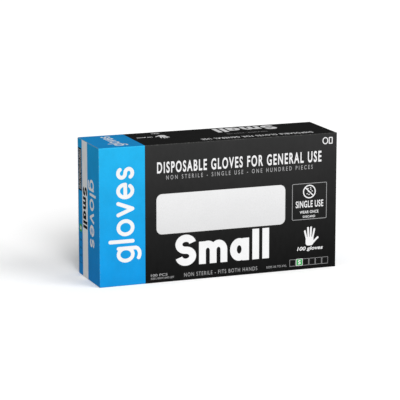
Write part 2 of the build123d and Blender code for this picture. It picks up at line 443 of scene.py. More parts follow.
class Finish:
    """A material whose nodes are built step by step. Its place is the Object coordinate, in metres."""

    def __init__(self, name, **shader):
        self.material = bpy.data.materials.new(name)
        self.material.use_nodes = True
        self.tree = self.material.node_tree
        self.shader = self.tree.nodes["Principled BSDF"]
        for socket, value in shader.items():
            self.shader.inputs[socket.replace("_", " ")].default_value = value
        self.place = self.node("ShaderNodeTexCoord").outputs["Object"]

    def node(self, kind, **values):
        """A new node of this kind with these values."""
        made = self.tree.nodes.new(kind)
        for key, value in values.items():
            setattr(made, key, value)
        return made

    def put(self, socket, value):
        """Links the value to the socket if it comes from a node, and else sets it there."""
        if isinstance(value, bpy.types.NodeSocket):
            self.tree.links.new(value, socket)
        else:
            socket.default_value = value

    def math(self, operation, first, second=0.0):
        """The result of a sum on one or two values."""
        made = self.node("ShaderNodeMath", operation=operation)
        for socket, value in zip(made.inputs, (first, second)):
            self.put(socket, value)
        return made.outputs[0]

    def axes(self):
        """The three coordinates of the place."""
        made = self.node("ShaderNodeSeparateXYZ")
        self.put(made.inputs[0], self.place)
        return made.outputs

    def noise(self, scale, detail=2.0, stretch=(1, 1, 1)):
        """Noise about the place; a stretch under 1 draws it out along that axis."""
        turned = self.node("ShaderNodeMapping")
        self.put(turned.inputs["Vector"], self.place)
        turned.inputs["Scale"].default_value = stretch
        made = self.node("ShaderNodeTexNoise")
        self.put(made.inputs["Vector"], turned.outputs[0])
        made.inputs["Scale"].default_value = scale
        made.inputs["Detail"].default_value = detail
        return made.outputs["Fac"]

    def span(self, value, low, high, to_low=0.0, to_high=1.0):
        """The value, carried from low..high to to_low..to_high and held there."""
        made = self.node("ShaderNodeMapRange")
        for socket, number in zip(made.inputs, (value, low, high, to_low, to_high)):
            self.put(socket, number)
        return made.outputs[0]

    def mix(self, share, first, second, blend="MIX"):
        """A blend of two colours. Of the node's sockets, 0 is the share and 6 and 7 are the colours."""
        made = self.node("ShaderNodeMix", data_type="RGBA", blend_type=blend)
        self.put(made.inputs[0], share)
        for socket, colour in ((made.inputs[6], first), (made.inputs[7], second)):
            self.put(socket, colour + (1.0,) if isinstance(colour, tuple) else colour)
        return made.outputs[2]

    def grey_of(self, value):
        """The grey whose three parts are this value."""
        made = self.node("ShaderNodeCombineColor")
        for socket in made.inputs:
            self.put(socket, value)
        return made.outputs[0]

    def bump(self, height, distance, strength=1.0):
        """Bends the shading as if the surface rose by height times distance."""
        made = self.node("ShaderNodeBump")
        made.inputs["Strength"].default_value = strength
        made.inputs["Distance"].default_value = distance
        self.put(made.inputs["Height"], height)
        self.put(self.shader.inputs["Normal"], made.outputs[0])

    def colour(self, value):
        """Sets the base colour."""
        self.put(self.shader.inputs["Base Color"], value)

    def roughness(self, value):
        """Sets the roughness."""
        self.put(self.shader.inputs["Roughness"], value)


def varnished(finish, colour, rough_low=0.38, rough_high=0.5, mottle=0.06):
    """Offset print under satin varnish: slight mottle of the ink, and the board's fibres felt through it."""
    cloud = finish.noise(55, 3)
    speck = finish.noise(1400, 2)
    fibre = finish.noise(420, 4, (1, 1, 0.35))
    broad = finish.span(cloud, 0.3, 0.7, 1 - mottle, 1 + mottle)
    shade = finish.math("ADD", broad, finish.span(speck, 0.3, 0.7, -0.03, 0.03))
    finish.colour(finish.mix(1.0, colour, finish.grey_of(shade), "MULTIPLY"))
    finish.roughness(finish.span(fibre, 0.25, 0.75, rough_low, rough_high))
    height = finish.math("ADD", finish.math("MULTIPLY", fibre, 0.7), finish.math("MULTIPLY", speck, 0.3))
    finish.bump(height, 0.006 * MM)
    return finish.material


def worn(finish, colour, amount=0.28):
    """Lets pale board through in specks along every edge of the carton."""
    x, y, z = finish.axes()
    from_middle = finish.math("SUBTRACT", z, OUTER_Z / 2)
    near_z = finish.math("SUBTRACT", OUTER_Z / 2, finish.math("ABSOLUTE", from_middle))
    near_y = finish.math("SUBTRACT", OUTER_Y, finish.math("ABSOLUTE", y))
    near_x = finish.math("SUBTRACT", OUTER_X, finish.math("ABSOLUTE", x))
    pairs = ((near_z, near_y), (near_x, near_y), (near_x, near_z))
    edges = [finish.math("MAXIMUM", *pair) for pair in pairs]
    nearest = finish.math("MINIMUM", finish.math("MINIMUM", edges[0], edges[1]), edges[2])
    band = finish.span(nearest, 0.18 * MM, 0.55 * MM, 1.0, 0.0)
    specks = finish.span(finish.noise(900, 3), 0.52, 0.66, 0.0, amount)
    return finish.mix(finish.math("MULTIPLY", band, specks), colour, (0.62, 0.61, 0.58))


def shaded(colour, shares):
    """A colour with each of its parts times its share."""
    return tuple(share * part for share, part in zip(shares, colour))


# The blue and black shares darken a face's copy of the print as painted shade
def wrap_print(name, blue_shade_share=(1.0, 1.0, 1.0), black_shade_share=(1.0, 1.0, 1.0)):
    """The wrap-round print: a blue band at the left, black beyond it, both deeper towards the foot as
    painted shade; the black's lighter top is a painted reflection.
    """
    ink = settings()[1]
    finish = Finish(name, Specular_IOR_Level=0.26)
    x, _, z = finish.axes()
    # Painted shade: the share of height by which both grounds darken towards the foot
    height = finish.span(z, 0.0, OUTER_Z)
    blue = finish.mix(height, shaded(ink.blue_shaded_foot, blue_shade_share), shaded(ink.blue_lit_top, blue_shade_share))
    black_shaded_low, black_lit_high = shaded(ink.black_shaded_foot, black_shade_share), shaded(ink.black_lit_top, black_shade_share)
    black = finish.mix(finish.math("POWER", height, 1.2), black_shaded_low, black_lit_high)
    band = finish.math("LESS_THAN", x, BAND_EDGE_X)
    return varnished(finish, worn(finish, finish.mix(band, black, blue)))


def end_print_painted_shade(name, low, high, stripe):
    """The print of an end: one ground that deepens towards the foot as painted shade, and an upright stripe.
    """
    finish = Finish(name, Specular_IOR_Level=0.26)
    _, y, z = finish.axes()
    # Painted shade: the ground darkens from its upper colour towards the foot
    ground = finish.mix(finish.span(z, 0.0, OUTER_Z), low, high)
    past = finish.math("GREATER_THAN", y, STRIPE_EDGES[0])
    inside = finish.math("MULTIPLY", past, finish.math("LESS_THAN", y, STRIPE_EDGES[1]))
    return varnished(finish, worn(finish, finish.mix(inside, ground, stripe)))


def flat_print(name, colour):
    """One ink, or white board left bare, under the varnish."""
    return varnished(Finish(name, Specular_IOR_Level=0.36), colour, 0.42, 0.54, 0.03)


def grey_board(name="grey_board"):
    """Uncoated inside of recycled board: warm grey, flecked with dark and light fibres."""
    finish = Finish(name, Specular_IOR_Level=0.2)
    cloud = finish.noise(90, 4)
    fleck = finish.span(finish.noise(1100, 3, (1, 1, 0.4)), 0.62, 0.74)
    pale = finish.span(finish.noise(700, 3, (0.5, 1, 1)), 0.6, 0.75)
    ground = finish.mix(finish.span(cloud, 0.3, 0.7), (0.40, 0.375, 0.335), (0.50, 0.475, 0.43))
    ground = finish.mix(finish.math("MULTIPLY", fleck, 0.5), ground, (0.17, 0.15, 0.13))
    ground = finish.mix(finish.math("MULTIPLY", pale, 0.35), ground, (0.72, 0.70, 0.66))
    finish.colour(ground)
    finish.roughness(finish.span(cloud, 0.3, 0.7, 0.82, 0.95))
    finish.bump(finish.noise(800, 5), 0.03 * MM)
    return finish.material


def cut_board(name="cut_board_edge"):
    """The cut edge: thin layers of pulp, paler at the coated face."""
    finish = Finish(name, Specular_IOR_Level=0.2)
    layers = finish.noise(2600, 3, (1, 1, 0.15))
    ground = finish.mix(finish.span(layers, 0.35, 0.65), (0.32, 0.31, 0.28), (0.54, 0.52, 0.48))
    finish.colour(ground)
    finish.roughness(finish.span(layers, 0.3, 0.7, 0.85, 0.95))
    finish.bump(layers, 0.05 * MM)
    return finish.material


def white_panel_with_painted_shade(name="white_panel"):
    """Bare clay-coated board, a little greyer towards the foot as painted shade."""
    finish = Finish(name, Specular_IOR_Level=0.3)
    _, _, z = finish.axes()
    height = finish.span(z, WINDOW_LOW.z, WINDOW_HIGH.z)
    # Painted shade: the board greys from its top towards its foot
    ground = finish.mix(height, (0.76, 0.76, 0.765), (0.865, 0.865, 0.87))
    return varnished(finish, ground, 0.5, 0.62, 0.012)


def nitrile_film(name="nitrile_film"):
    """Matt black film with a fine grain and a slightly uneven tone."""
    finish = Finish(name, Specular_IOR_Level=0.45, Sheen_Weight=0.06, Sheen_Roughness=0.4)
    film = tuple(settings()[2].film)
    cloud = finish.noise(40, 4)
    grain = finish.node("ShaderNodeTexVoronoi")
    finish.put(grain.inputs["Vector"], finish.place)
    grain.inputs["Scale"].default_value = 1500
    finish.colour(finish.mix(finish.span(cloud, 0.35, 0.75), film, shaded(film, (1.9, 1.9, 1.9))))
    finish.roughness(finish.span(cloud, 0.3, 0.7, 0.42, 0.6))
    dimples = finish.math("MULTIPLY", grain.outputs["Distance"], 0.4)
    finish.bump(finish.math("ADD", dimples, finish.noise(260, 3)), 0.05 * MM, 0.8)
    return finish.material


def dried_glue(name="dried_glue"):
    """Yellowed adhesive, glossy where it is thick."""
    finish = Finish(name, Specular_IOR_Level=0.5, Subsurface_Weight=0.1)
    cloud = finish.noise(160, 3)
    finish.colour(finish.mix(finish.span(cloud, 0.3, 0.7), (0.62, 0.52, 0.32), (0.80, 0.74, 0.56)))
    finish.roughness(finish.span(cloud, 0.3, 0.7, 0.25, 0.5))
    finish.bump(cloud, 0.03 * MM)
    return finish.material


MADE = {}


def finish_named(name, maker, *values):
    """Makes a finish once, and gives the same one to every piece that asks for it."""
    if name not in MADE:
        MADE[name] = maker(name, *values)
    return MADE[name]


def board_finishes(printed):
    """The three finishes of a board, in the order of PRINTED, INSIDE and CUT."""
    return [printed, finish_named("grey_board", grey_board), finish_named("cut_board_edge", cut_board)]


def wrap_finishes(kind="wrap_print", *shares):
    """The finishes of a board that carries the wrap-round print."""
    return board_finishes(finish_named(kind, wrap_print, *shares))


def end_finishes(side):
    """The finishes of an end: the left is blue with a white stripe, its blue a darker copy of the front's as
    painted shade; the right black with a blue one.
    """
    ink = settings()[1]
    if side < 0:
        low, high = shaded(ink.blue_shaded_foot, LEFT_END_PAINTED_SHADE), shaded(ink.blue_lit_top, LEFT_END_PAINTED_SHADE)
        return board_finishes(finish_named("left_end_print", end_print_painted_shade, low, high, (0.93, 0.96, 0.97)))
    # The right end's black has the same painted reflection at the top and painted shade at the foot
    low, high = tuple(ink.black_shaded_foot), tuple(ink.black_lit_top)
    return board_finishes(finish_named("right_end_print", end_print_painted_shade, low, high, (0.004, 0.34, 0.78)))


def ink_finish(kind):
    """The bare white, the grey tint, the green or the black of a printed shape."""
    ink = settings()[1]
    colours = {"white": ink.white, "grey": ink.grey, "green": ink.green, "black": ink.black_shaded_foot}
    return finish_named(f"{kind}_print", flat_print, tuple(colours[kind]))


# ---------------------------------------------------------------- print


class Reading:
    """A printed face as its lettering reads it: a point, the reading direction, the way up, and out."""

    def __init__(self, origin, right, up, body, dip=False):
        self.origin = np.asarray(origin, float)
        self.right = np.asarray(right, float)
        self.up = np.asarray(up, float)
        self.out = np.cross(self.right, self.up)
        self.body = body
        self.dip = dip

    def place(self, flat, height):
        """Points right * first + up * second + out * height; flat is in metres on the face."""
        points = self.origin + flat[..., :1] * self.right + flat[..., 1:2] * self.up + height * self.out
        return dipped(points) if self.dip else points

    def overprinted(self):
        """The same face, moved out for print that lies on other print."""
        return Reading(self.origin + self.out * OVERPRINT, self.right, self.up, self.body, self.dip)


def readings():
    """The printed faces. Each is one half board thickness out from its board's middle."""
    board = settings()[0]
    front_y = -(OUTER_Y - MID_BOARD + board.half_thickness)
    top_z = OUTER_Z - MID_BOARD + board.half_thickness
    foot_z = MID_BOARD - board.half_thickness
    end_x = OUTER_X - MID_BOARD + board.half_thickness
    return {
        "front": Reading((0, front_y, 0), (1, 0, 0), (0, 0, 1), "carton", True),
        "front_band": Reading((0, front_y, 0), (0, 0, 1), (-1, 0, 0), "carton", True),
        "back": Reading((0, -front_y, 0), (-1, 0, 0), (0, 0, 1), "carton"),
        "back_band": Reading((0, -front_y, 0), (0, 0, 1), (1, 0, 0), "carton"),
        "top": Reading((0, 0, top_z), (-1, 0, 0), (0, -1, 0), "carton"),
        "top_band": Reading((0, 0, top_z), (0, 1, 0), (-1, 0, 0), "carton"),
        "foot": Reading((0, 0, foot_z), (1, 0, 0), (0, -1, 0), "carton"),
        "left": Reading((-end_x, 0, 0), (0, 0, -1), (0, -1, 0), "left_closure"),
        "right": Reading((end_x, 0, 0), (0, 0, 1), (0, -1, 0), "right_closure"),
    }


def ink_slab(face, flat, wrapped=False, lift=0.0):
    """A printed shape: a grid of flat points as a closed sheet that stands out from the face by the ink.

    A lift keeps the faces of shapes that cross each other from lying in one plane.
    """
    ink = settings()[0].ink
    upper = face.place(flat, ink - lift)
    lower = face.place(flat, -ink)
    return slab(upper, lower - upper, wrapped, (0, 0, 0))


def ribbon(path, width, caps=6):
    """A stroke: a path of flat points, widened to both sides, with half circles added unless caps is 0."""
    path = np.asarray(path, float)
    radius = width / 2
    direction = np.gradient(path, axis=0)
    direction /= np.linalg.norm(direction, axis=1)[:, None]
    if not caps:
        normal = np.stack([-direction[:, 1], direction[:, 0]], axis=-1) * radius
        return np.stack([path - normal, path + normal], axis=1)
    angle = np.linspace(math.radians(86), 0, caps, endpoint=False)
    start = path[0] - np.outer(radius * np.sin(angle), direction[0])
    end = path[-1] + np.outer(radius * np.sin(angle[::-1]), direction[-1])
    centres = np.concatenate([start, path, end])
    half = np.concatenate([radius * np.cos(angle), np.full(len(path), radius), radius * np.cos(angle[::-1])])
    first, last = direction[:1], direction[-1:]
    along = np.concatenate([np.repeat(first, caps, 0), direction, np.repeat(last, caps, 0)])
    normal = np.stack([-along[:, 1], along[:, 0]], axis=-1)
    return np.stack([centres - normal * half[:, None], centres + normal * half[:, None]], axis=1)


def arc(centre, radii, start, end, steps=25):
    """Points of an ellipse from one angle to another, in degrees."""
    angle = np.radians(np.linspace(start, end, steps))
    return np.stack([centre[0] + radii[0] * np.cos(angle), centre[1] + radii[1] * np.sin(angle)], axis=-1)


def hoop(centre, radii, width, steps=48):
    """An ellipse drawn with a stroke: its outer and inner edges as a wrapped grid."""
    angle = np.arange(steps) * 2 * math.pi / steps
    circle = np.stack([np.cos(angle), np.sin(angle)], axis=-1)
    outer = np.asarray(centre) + circle * (np.asarray(radii) + width / 2)
    inner = np.asarray(centre) + circle * (np.asarray(radii) - width / 2)
    return np.stack([outer, inner])


def frame_line(low, high, width, corner):
    """A round-cornered rectangle drawn with a stroke, as a wrapped grid."""
    low, high = np.asarray(low, float), np.asarray(high, float)
    half = (high - low) / 2
    middle = (high + low) / 2
    outer = rounded_outline(half[0], half[1], corner, 2, 5)
    inner = rounded_outline(half[0] - width, half[1] - width, max(corner - width, 0.3 * width), 2, 5)
    return np.stack([outer, inner]) + middle


def block(low, high, rows=2, columns=2):
    """A filled rectangle as a grid."""
    across = np.linspace(low[0], high[0], columns)
    upward = np.linspace(low[1], high[1], rows)
    return np.stack(np.meshgrid(across, upward), axis=-1)


def lettering(face, words, low, high, weight=0.0, spacing=1.0, slant=0.0, detail=5):
    """Words in the plain built-in typeface, fitted to the box from low to high on the face."""
    curve = bpy.data.curves.new("words", "FONT")
    curve.body = words
    curve.offset = weight
    curve.space_character = spacing
    curve.shear = slant
    curve.extrude = 0.5
    curve.resolution_u = detail
    holder = bpy.data.objects.new("words", curve)
    bpy.context.scene.collection.objects.link(holder)
    bpy.context.view_layer.update()
    mesh = bpy.data.meshes.new_from_object(holder.evaluated_get(bpy.context.evaluated_depsgraph_get()))
    bpy.data.objects.remove(holder)
    bpy.data.curves.remove(curve)
    joined = bmesh.new()
    joined.from_mesh(mesh)
    bmesh.ops.remove_doubles(joined, verts=joined.verts, dist=1e-4)
    bmesh.ops.dissolve_degenerate(joined, edges=joined.edges, dist=1e-5)
    bmesh.ops.triangulate(joined, faces=[f for f in joined.faces if len(f.verts) > 4])
    joined.to_mesh(mesh)
    joined.free()
    co = np.zeros(len(mesh.vertices) * 3)
    mesh.vertices.foreach_get("co", co)
    co = co.reshape(-1, 3)
    polygons = [list(polygon.vertices) for polygon in mesh.polygons]
    bpy.data.meshes.remove(mesh)
    smallest, largest = co.min(0), co.max(0)
    share = (co - smallest) / (largest - smallest)
    flat = np.asarray(low) + share[:, :2] * (np.asarray(high) - np.asarray(low))
    height = (2 * share[:, 2:] - 1) * settings()[0].ink
    return face.place(flat, height), polygons, np.zeros(len(polygons), int)


def print_piece(name, face, parts, kind):
    """Printed shapes of one ink on one face, as one piece."""
    return make_piece(name, face.body, parts, [ink_finish(kind)], smooth=False)


class Strokes:
    """Writes strokes on a face. Places are in mm from the start of the word, on its baseline, times size."""

    def __init__(self, face, start, baseline, size, stroke, caps):
        self.face = face
        self.start = np.array((start, baseline)) * MM
        self.size = size * MM
        self.stroke = stroke
        self.caps = caps
        self.parts = []

    def lift(self):
        """One of four lifts in turn, so that neighbouring strokes differ."""
        return LIFT * (len(self.parts) % 4)

    def line(self, *path):
        """A stroke along a path, which is given in one or more runs of points."""
        points = np.concatenate([np.atleast_2d(np.asarray(run, float)) for run in path])
        grid = ribbon(points * self.size + self.start, self.stroke * self.size, self.caps)
        self.parts.append(ink_slab(self.face, grid, lift=self.lift()))

    def straight(self, start, end):
        """A straight stroke."""
        self.line(np.linspace(start, end, 5))

    def ring(self, left, width, height):
        """A closed oval that touches the baseline, as wide and high as its outer edge."""
        middle = np.array((left + width / 2, height / 2)) * self.size + self.start
        radii = np.array((width - self.stroke, height - self.stroke)) / 2 * self.size
        grid = hoop(middle, radii, self.stroke * self.size)
        self.parts.append(ink_slab(self.face, grid, True, self.lift()))


def band_word(face, start, baseline, size=1.0):
    """The word "gloves" in thin round strokes, about 89 mm long at size 1: rings, arcs and lines."""
    stroke = settings()[0].stroke / MM
    half = stroke / 2
    tall, rise = 17.6, 25.6
    ink = Strokes(face, start, baseline, size, stroke, 6)
    gap = 3.1

    left, width = 0.0, 15.4  # g
    right = left + width - half
    ink.ring(left, width, tall)
    hook = arc((left + width / 2, -0.6), (width / 2 - half, 4.4), 0, -130)
    ink.line([(right, tall - half), (right, tall / 2)], hook)
    left += width + gap
    ink.straight((left + half, half), (left + half, rise - half))  # l
    left += stroke + gap
    width = 16.2  # o
    ink.ring(left, width, tall)
    left += width + gap - 0.7
    width = 14.4  # v
    ink.straight((left + half, tall - half), (left + width / 2, half))
    ink.straight((left + width - half, tall - half), (left + width / 2, half))
    left += width + gap - 0.9
    width = 15.6  # e
    ink.line(arc((left + width / 2, tall / 2), (width / 2 - half, tall / 2 - half), 0, 318, 41))
    ink.straight((left + half + 0.3, tall / 2), (left + width - half, tall / 2))
    left += width + gap
    width = 11.6  # s
    bow, across = (tall - stroke) / 4, width / 2 - half
    upper = arc((left + width / 2, half + 3 * bow), (across, bow), 28, 270, 23)
    lower = arc((left + width / 2, half + bow), (across, bow), 90, -152, 23)
    ink.line(upper, lower[1:])
    return ink.parts


def size_word(face, start, baseline, size=1.0):
    """The word "Small" in heavy strokes with cut ends, 95 mm long and 29.5 mm high at size 1."""
    stroke, half = 6.9, 3.45
    tall, rise = 21.8, 29.5
    ink = Strokes(face, start, baseline, size, stroke, 0)
    gap = 2.9

    left, width = 0.0, 20.8  # S
    bow, across = (rise - stroke + 0.6) / 4, (width - stroke) / 2
    upper = arc((left + width / 2, half - 0.3 + 3 * bow), (across, bow), 12, 270, 29)
    lower = arc((left + width / 2, half - 0.3 + bow), (across, bow), 90, -168, 29)
    ink.line(upper, lower[1:])
    left += width + gap
    step = 10.9  # m
    ink.straight((left + half, 0), (left + half, tall))
    for place in (0, 1):
        middle = left + half + step * (place + 0.5)
        arch = arc((middle, tall - half - 5.8), (step / 2, 6.2), 172, 0, 21)
        ink.line(arch, [(middle + step / 2, 6.0), (middle + step / 2, 0.0)])
    left += 2 * step + stroke + gap
    width = 19.4  # a
    ink.ring(left, width - 0.8, tall + 0.2)
    ink.straight((left + width - half, 0), (left + width - half, tall))
    for before in (width, stroke):  # l, l
        left += before + gap + 0.5
        ink.straight((left + half, 0), (left + half, rise + 0.3))
    return ink.parts


def hand_mark(face, middle, size):
    """An open hand: a round-cornered palm and five strokes, in mm from its middle at size 1."""
    parts = []
    palm_half, palm_foot, palm_height, corner = 4.1, -8.2, 8.4, 2.6

    def at(flat):
        return np.asarray(flat, float) * size * MM + np.asarray(middle) * MM

    stations = corner_stations(palm_height, corner)
    inset = corner_inset(stations, palm_height, corner)
    share = np.linspace(0, 1, 5)[None, :, None]
    low = np.stack([inset - palm_half, palm_foot + stations], axis=-1)[:, None]
    high = np.stack([palm_half - inset, palm_foot + stations], axis=-1)[:, None]
    parts.append(ink_slab(face, at(low + (high - low) * share)))
    fingers = (
        ((-3.1, -1.2), (-5.0, 6.2), 1.8), ((-1.2, -1.0), (-1.7, 9.2), 1.9), ((0.9, -1.0), (1.5, 9.4), 1.9),
        ((3.0, -1.4), (4.9, 7.6), 1.8), ((3.2, -5.6), (8.4, -0.8), 2.0),
    )
    for root, tip, width in fingers:
        grid = ribbon(at(np.linspace(root, tip, 4)), width * size * MM)
        parts.append(ink_slab(face, grid, lift=LIFT * (1 + len(parts) % 3)))
    return parts


# ---------------------------------------------------------------- carton board


def crease_strip(centre_y, centre_z, toward_y, toward_z, half_length, columns=13):
    """The board round a long crease: a quarter ring about the crease's centre, carried along X."""
    half = settings()[0].half_thickness
    middle = CREASE_OUTER - MID_BOARD
    angle = np.linspace(0, math.pi / 2, 9)[:, None]
    still = np.zeros_like(angle)
    way = np.stack([still, toward_y * np.cos(angle), toward_z * np.sin(angle)], axis=-1)
    x = np.linspace(-half_length, half_length, columns)[None, :]
    centre = np.stack(np.broadcast_arrays(x, still + centre_y, still + centre_z), axis=-1)
    return slab(centre + way * (middle + half), np.broadcast_to(-2 * half * way, centre.shape))


def front_board():
    """The front: a ring of board from the window to the creases, both creases, and a bead at each end."""
    half = settings()[0].half_thickness
    middle_x = (WINDOW_LOW.x + WINDOW_HIGH.x) / 2
    middle_z = (WINDOW_LOW.z + WINDOW_HIGH.z) / 2
    half_length = (WINDOW_HIGH.x - WINDOW_LOW.x) / 2 + WINDOW_GAP
    half_height = (WINDOW_HIGH.z - WINDOW_LOW.z) / 2 + WINDOW_GAP
    window = rounded_outline(half_length, half_height, WINDOW_CORNER + WINDOW_GAP)
    window += np.array((middle_x, middle_z))
    hinge = JOINTS["left_closure_hinge"]["pos_m"]
    flat_half = -hinge[0]
    border = corner_crowded_outline(flat_half, OUTER_Z / 2 - CREASE_OUTER, 9 * MM)
    border += np.array((0, OUTER_Z / 2))
    share = np.linspace(0, 1, 15)[:, None, None]
    flat = border * (1 - share) + window * share
    points = np.stack([flat[..., 0], np.full(flat.shape[:2], hinge[1] - half), flat[..., 1]], axis=-1)
    parts = [slab(dipped(points), (0, 2 * half, 0), wrapped=True)]
    turn_y = -(OUTER_Y - CREASE_OUTER)
    parts.append(crease_strip(turn_y, CREASE_OUTER, -1, -1, flat_half))
    parts.append(crease_strip(turn_y, OUTER_Z - CREASE_OUTER, -1, 1, flat_half))
    steps = 8
    turn = np.linspace(0, math.pi / 2, steps)
    lower = np.stack([0 * turn, -np.sin(turn), -np.cos(turn)], axis=-1)
    away = np.concatenate([lower, lower[::-1] * (1, 1, -1)])
    centres = (CREASE_OUTER - MID_BOARD) * away + (0, turn_y, 0)
    centres[:, 2] += np.repeat([CREASE_OUTER, OUTER_Z - CREASE_OUTER], steps)
    parts += [bead(centres + (side * flat_half, 0, 0), away, side, half) for side in (-1, 1)]
    make_piece("front_board", "carton", parts, wrap_finishes(), ["front_panel"])


def long_board(name, node, outer_z, out, y_low, y_high, shares):
    """A long narrow side: a flat sheet between its creases with a bead at each end for the dust flaps."""
    half = settings()[0].half_thickness
    hinge_x = JOINTS["right_upper_dust_crease"]["pos_m"][0]
    stations = np.linspace(0, 2 * hinge_x, 25)
    middle = outer_z - out * MID_BOARD
    start = (-hinge_x, 0, middle + out * half)
    grid = sheet_grid(start, (1, 0, 0), (0, 1, 0), stations, y_low, y_high, 7)
    parts = [slab(grid, (0, 0, -out * 2 * half))]
    for side in (-1, 1):
        ends = [(side * hinge_x, y_low, middle), (side * hinge_x, y_high, middle)]
        parts.append(bead(ends, (0, 0, out), side, half))
    make_piece(name, "carton", parts, wrap_finishes(f"{name}_print", *shares), [node])


def back_board():
    """The back: a flat sheet, the crease to the top and the crease to the glue flap."""
    half = settings()[0].half_thickness
    seam_crease_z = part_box("back_panel")[0].z + CREASE_OUTER
    upper_crease_z = OUTER_Z - CREASE_OUTER
    stations = np.linspace(0, 2 * OUTER_X, 25)
    start = (-OUTER_X, OUTER_Y - MID_BOARD + half, 0)
    grid = sheet_grid(start, (1, 0, 0), (0, 0, 1), stations, seam_crease_z, upper_crease_z, 13)
    turn_y = OUTER_Y - CREASE_OUTER
    parts = [
        slab(grid, (0, -2 * half, 0)),
        crease_strip(turn_y, upper_crease_z, 1, 1, BACK_CREASE_HALF),
        crease_strip(turn_y, seam_crease_z, 1, -1, BACK_CREASE_HALF),
    ]
    make_piece("back_board", "carton", parts, wrap_finishes(), ["back_panel"])


def glue_seam():
    """The glue flap that lies on the bottom board, and its line of adhesive, whose edges waver."""
    half = settings()[0].half_thickness
    taper = 6 * MM
    low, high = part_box("glue_flap")
    stations = np.linspace(0, high.y - low.y, 7)
    end = high.x - taper * stations / stations[-1]
    grid = sheet_grid((0, high.y, low.z + MID_BOARD - half), (0, -1, 0), (1, 0, 0), stations, -end, end, 25)
    parts = [slab(grid, (0, 0, 2 * half), finishes=(INSIDE, INSIDE, CUT))]
    make_piece("glue_tab", "carton", parts, wrap_finishes(), ["glue_flap"])
    low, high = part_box("seam_glue")
    x = np.linspace(low.x, high.x, 61)
    half_width = (high.y - low.y) / 2 - 0.8 * MM + 0.7 * MM * np.sin(x * 310) * np.cos(x * 127)
    middle = (0, (low.y + high.y) / 2, high.z)
    grid = sheet_grid(middle, (1, 0, 0), (0, 1, 0), x, -half_width, half_width, 5)
    parts = [slab(grid, (0, 0, low.z - high.z), finishes=(0, 0, 0))]
    make_piece("adhesive_line", "carton", parts, [finish_named("dried_glue", dried_glue)],
               ["seam_glue"])


def closure_board(side_name, side):
    """A closure: a flat sheet from its hinge line to the bead at its free edge."""
    half = settings()[0].half_thickness
    hinge = JOINTS[f"{side_name}_closure_hinge"]["pos_m"]
    tongue = JOINTS[f"{side_name}_tongue_crease"]["pos_m"]
    low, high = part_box(f"{side_name}_closure")
    stations = np.linspace(0, tongue[1] - hinge[1], 9)
    start = (hinge[0] + side * half, hinge[1], 0)
    grid = sheet_grid(start, (0, 1, 0), (0, 0, 1), stations, low.z, high.z, 17)
    parts = [
        slab(grid, (-side * 2 * half, 0, 0)),
        bead([(tongue[0], tongue[1], low.z), (tongue[0], tongue[1], high.z)], (0, 1, 0), side, half),
    ]
    node = f"{side_name}_closure"
    make_piece(f"{side_name}_end_board", node, parts, end_finishes(side), [node])


def tip_stations(length, corner, straight, curved):
    """Places along a flap up to its round-cornered tip, and how far its edges draw in at each place."""
    turn = np.linspace(0, math.pi / 2, curved)
    shoulder = length - corner
    stations = np.concatenate([np.linspace(0, shoulder, straight)[:-1], shoulder + corner * np.sin(turn)])
    over = np.clip(stations - shoulder, 0, corner)
    return stations, corner - np.sqrt(np.clip(corner**2 - over**2, 0, None))


def tuck_tongue(side_name, side):
    """A tuck tongue: a sheet that leans in from the closure's free edge, round-cornered at its tip."""
    half = settings()[0].half_thickness
    crease = JOINTS[f"{side_name}_tongue_crease"]["pos_m"]
    low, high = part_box(f"{side_name}_tuck_tongue")
    lean = math.radians(8)
    along = np.array((-side * math.cos(lean), -math.sin(lean), 0))
    outward = np.array((-side * math.sin(lean), math.cos(lean), 0))
    length, corner = 12.5 * MM, 9 * MM
    stations, inset = tip_stations(length, corner, 4, 10)
    start = np.array((crease[0], crease[1], 0)) + outward * half
    grid = sheet_grid(start, along, (0, 0, 1), stations, low.z + inset, high.z - inset, 17)
    parts = [slab(grid, -2 * half * outward)]
    make_piece(f"{side_name}_tuck_flap", f"{side_name}_tongue", parts, end_finishes(side),
               [f"{side_name}_tuck_tongue"])


def dust_flap(side_name, level, side):
    """A dust flap: a sheet folded in behind the closure, cut back on its front side, with a rounded tip."""
    half = settings()[0].half_thickness
    name = f"{side_name}_{level}_dust_flap"
    crease = JOINTS[f"{side_name}_{level}_dust_crease"]["pos_m"]
    low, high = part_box(name)
    inward = 1 if level == "lower" else -1
    length = max(abs(high.z - crease[2]), abs(low.z - crease[2]))
    stations, inset = tip_stations(length, 4 * MM, 9, 8)
    cut_back, front_round = 0.65, 0.4
    front = low.y + cut_back * stations + front_round * inset
    start = (crease[0] + side * half, 0, crease[2])
    grid = sheet_grid(start, (0, 0, inward), (0, 1, 0), stations, front, high.y - inset, 13)
    parts = [slab(grid, (-side * 2 * half, 0, 0))]
    make_piece(f"{name}_board", name, parts, wrap_finishes(), [name])


def tear_out():
    """The tear-out panel: a round-cornered sheet in the window. Its nicks take the finish of cut board."""
    half = settings()[0].half_thickness
    height = WINDOW_HIGH.z - WINDOW_LOW.z
    stations = corner_stations(height, WINDOW_CORNER, 9, 9)
    inset = corner_inset(stations, height, WINDOW_CORNER)
    low_x, high_x = WINDOW_LOW.x + inset, WINDOW_HIGH.x - inset
    start = (0, -(OUTER_Y - MID_BOARD + half), WINDOW_LOW.z)
    grid = sheet_grid(start, (0, 0, 1), (1, 0, 0), stations, low_x, high_x, 33)
    parts = [slab(dipped(grid), (0, 2 * half, 0))]
    # The white panel's finish paints shade towards its foot
    finishes = board_finishes(finish_named("white_panel", white_panel_with_painted_shade))
    make_piece("tear_out_board", "tear_out", parts, finishes, ["tear_out_panel"])
    nicks = frame["nodes"]["perforation_nicks"]
    nicks.data.materials.clear()
    nicks.data.materials.append(finish_named("cut_board_edge", cut_board))


